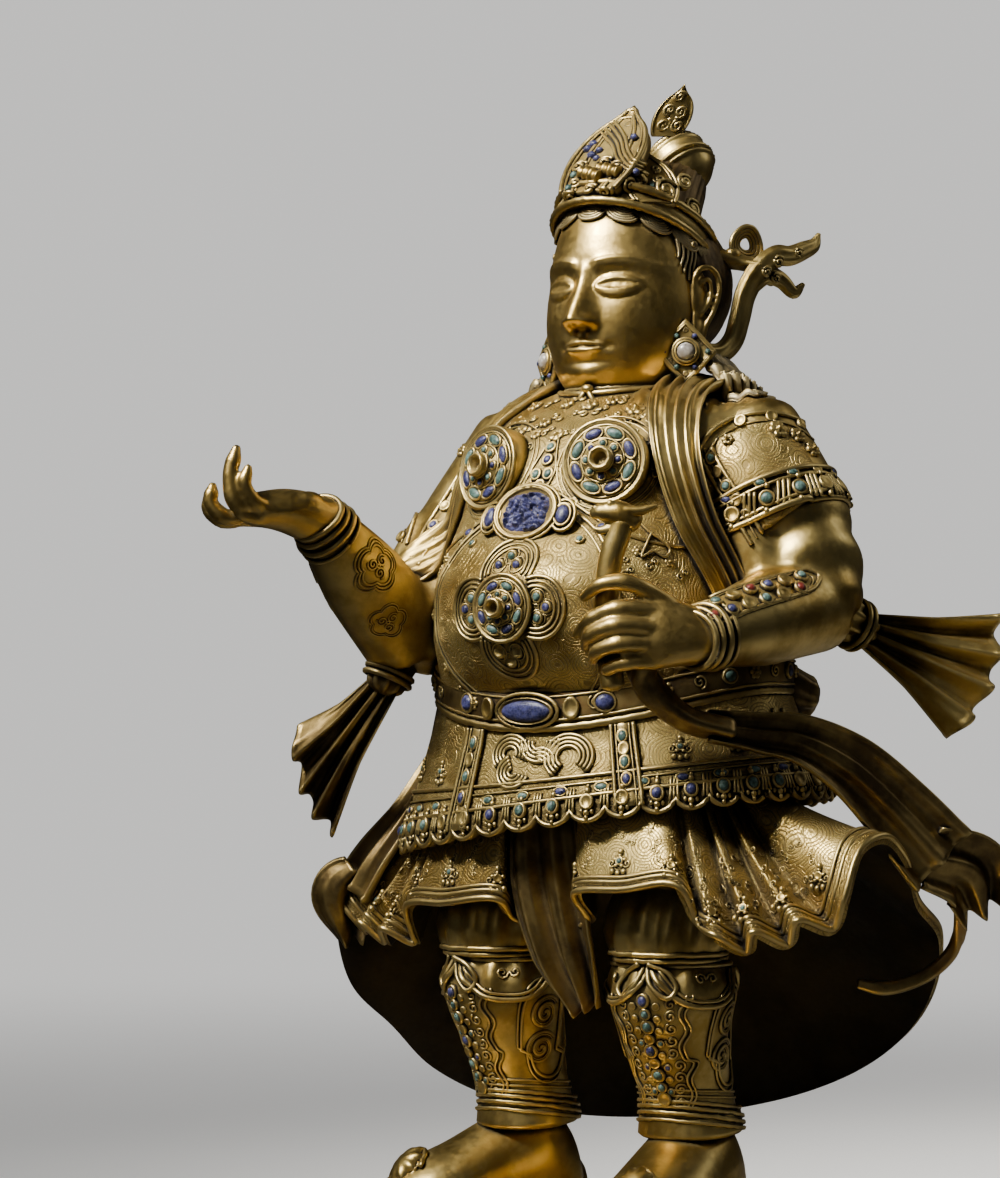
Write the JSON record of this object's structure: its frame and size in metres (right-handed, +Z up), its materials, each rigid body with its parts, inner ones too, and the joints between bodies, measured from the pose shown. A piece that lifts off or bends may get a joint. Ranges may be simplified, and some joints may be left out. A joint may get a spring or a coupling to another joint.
{
  "type": "lokapala figure",
  "caption": "Pot-bellied guardian king in gilt copper, in inlaid armour, a flared skirt and tall boots, with flying scarves and a serpent in its left hand, on a low plinth.",
  "frame": {"origin": "on the plinth's underside, under the figure's axis", "axes": "+Z up, the figure faces -Y, its left hand on +X"},
  "size_m": [0.485, 0.4473, 0.8476],
  "materials": {
    "gilt": "worn gilding on copper, brown in the recesses",
    "lapis": "deep blue stone, waxy",
    "turquoise": "blue-green stone, waxy",
    "crystal": "clear cabochon over foil"
  },
  "bodies": {
    "root": {"plinth": "gilt", "figure": "gilt", "serpent": "gilt", "left_chest_stone_1": "lapis", "left_chest_stone_2": "turquoise", "left_chest_stone_3": "lapis", "left_chest_stone_4": "turquoise", "right_chest_stone_1": "lapis", "right_chest_stone_2": "turquoise", "right_chest_stone_3": "lapis", "right_chest_stone_4": "turquoise", "belly_stone_1": "lapis", "belly_stone_2": "turquoise", "belly_stone_3": "lapis", "belly_stone_4": "turquoise", "chest_lapis_plaque": "lapis", "belt_lapis": "lapis", "crown_lapis": "lapis", "left_earring_crystal": "crystal", "left_chest_lapis": "lapis", "left_belt_lapis": "lapis", "right_earring_crystal": "crystal", "right_chest_lapis": "lapis", "right_belt_lapis": "lapis"}
  },
  "joints": []
}
